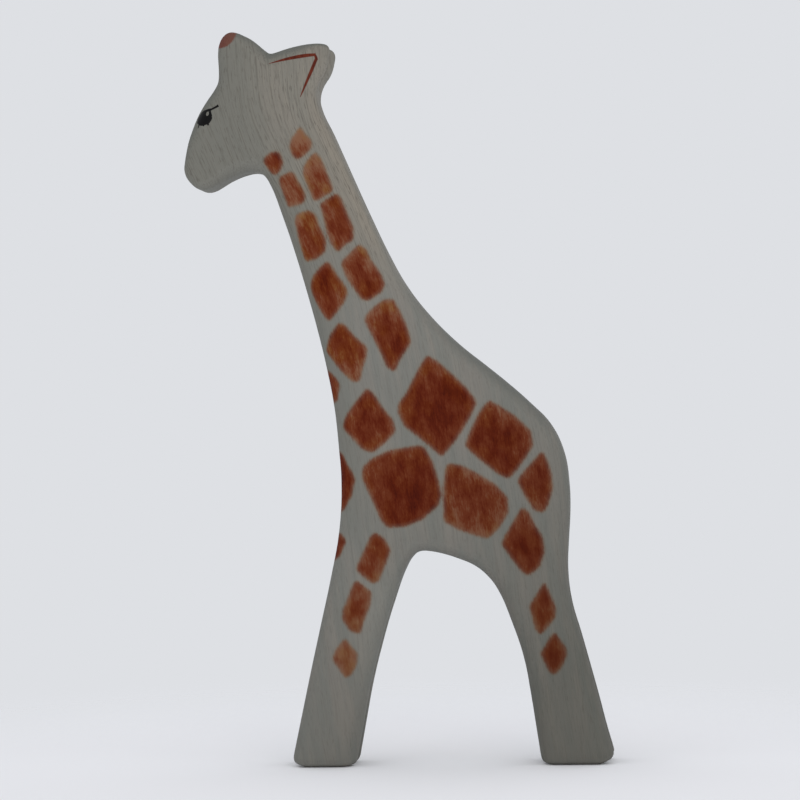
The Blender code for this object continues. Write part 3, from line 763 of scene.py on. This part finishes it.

# Painted shade: wood, stain and eye alike are darkened towards the hind feet, where less light falls.
painted_shade = add(tree, VECTOR, place, (1.0, 0.0, -1.0), operation="DOT_PRODUCT")
painted_shade = add(tree, RANGE, painted_shade, *PAINTED_SHADE_RAMP)
painted_shade = add(tree, MATH, painted_shade, PAINTED_SHADE_CURVE, operation="POWER")
coloured = add(tree, MIX, painted_shade, coloured, linear("c9cac7"), data_type="RGBA", blend_type="MULTIPLY")
roughness = add(tree, RANGE, eye, 0.0, 1.0, WOOD_ROUGHNESS, EYE_ROUGHNESS)
gloss = add(tree, RANGE, stained, 0.0, 1.0, OILED_GLOSS, STAINED_GLOSS)
relief = add(tree, MATH, pores, PORE_RELIEF, streaks, operation="MULTIPLY_ADD")
bump = add(tree, "ShaderNodeBump", named={"Height": relief, "Distance": GRAIN_RELIEF, "Strength": GRAIN_BUMP})
surface = add(tree, "ShaderNodeBsdfPrincipled", named={"Base Color": coloured, "Roughness": roughness,
                                                       "Normal": bump, "IOR": OILED_IOR,
                                                       "Specular IOR Level": gloss})
add(tree, "ShaderNodeOutputMaterial", surface)
giraffe.data.materials.append(wood)
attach(giraffe, "root")
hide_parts("carved_body")
print("finished wood:", len(tree.nodes), "nodes")

# %% [markdown]
# ## Studio
#
# The toy stands on a pale table before a pale ground. The light is even, soft and slightly cool, with one large
# soft lamp, slightly warm, almost in front of the board. The ground's paleness is its own colour as the camera sees
# it, so it adds no light to the toy. The table fades out into the ground and only holds the feet's soft shadow.

# %% Ground
GROUND = linear("dee0e4")
AMBIENT = (0.807, 0.816, 0.839)     # the light from all round, in linear numbers

world = bpy.data.worlds.new("pale_studio")
bpy.context.scene.world = world
world.use_nodes = True
ground = world.node_tree
ground.nodes.clear()
rays = add(ground, "ShaderNodeLightPath").outputs
seen = add(ground, MATH, rays["Is Camera Ray"], rays["Is Transmission Ray"], operation="MAXIMUM")
seen = add(ground, MATH, seen, rays["Is Glossy Ray"], operation="MAXIMUM")
lit = add(ground, MIX, seen, (*AMBIENT, 1.0), GROUND, data_type="RGBA")
add(ground, "ShaderNodeOutputWorld", add(ground, "ShaderNodeBackground", lit))
print("ambient light:", AMBIENT)

# %% Table
TABLE_RADIUS = 0.45             # m
TABLE_CLEAR = 0.12              # m from the middle to where the table starts to fade
TABLE_DROP = 0.0002             # m below the soles, so that the two surfaces never coincide

bpy.ops.object.select_all(action="DESELECT")
bpy.ops.mesh.primitive_circle_add(vertices=96, radius=TABLE_RADIUS, fill_type="NGON",
                                  location=(0.0, 0.0, -TABLE_DROP))
table = bpy.context.object
table.name = "pale_table"
bpy.ops.object.transform_apply(location=True)
table_paint = bpy.data.materials.new("matt_white_table_paint")
table_paint.use_nodes = True
paint = table_paint.node_tree
paint.nodes.clear()
from_middle = add(paint, VECTOR, add(paint, "ShaderNodeTexCoord").outputs["Object"], operation="LENGTH")
shown = add(paint, RANGE, from_middle, TABLE_RADIUS, TABLE_CLEAR, interpolation_type=EASED)
layered = add(paint, "ShaderNodeMixShader", shown, add(paint, "ShaderNodeBsdfTransparent"),
              add(paint, "ShaderNodeBsdfDiffuse", linear("f7f8fb")))
add(paint, "ShaderNodeOutputMaterial", layered)
table.data.materials.append(table_paint)
print("table radius in mm:", TABLE_RADIUS * MM)

# %% Soft lamp
LAMP_DIRECTION = Vector((0.22, -0.95, 0.16))
LAMP_DISTANCE = 1.5             # m
LAMP_SIZE = 0.9
LAMP_POWER = 4.3                # W
LAMP_TINT = (1.0, 0.92, 0.83)

lamp_data = bpy.data.lights.new("large_soft_lamp", "AREA")
lamp_data.shape = "SQUARE"
lamp_data.size = LAMP_SIZE
lamp_data.energy = LAMP_POWER
lamp_data.color = LAMP_TINT
lamp = bpy.data.objects.new("large_soft_lamp", lamp_data)
bpy.context.scene.collection.objects.link(lamp)
lamp.location = VIEW_TARGET + LAMP_DIRECTION.normalized() * LAMP_DISTANCE
lamp.rotation_euler = (lamp.location - VIEW_TARGET).to_track_quat("Z", "Y").to_euler()
bpy.context.scene.view_settings.view_transform = "Standard"
print("lamp at", [round(value, 3) for value in lamp.location])
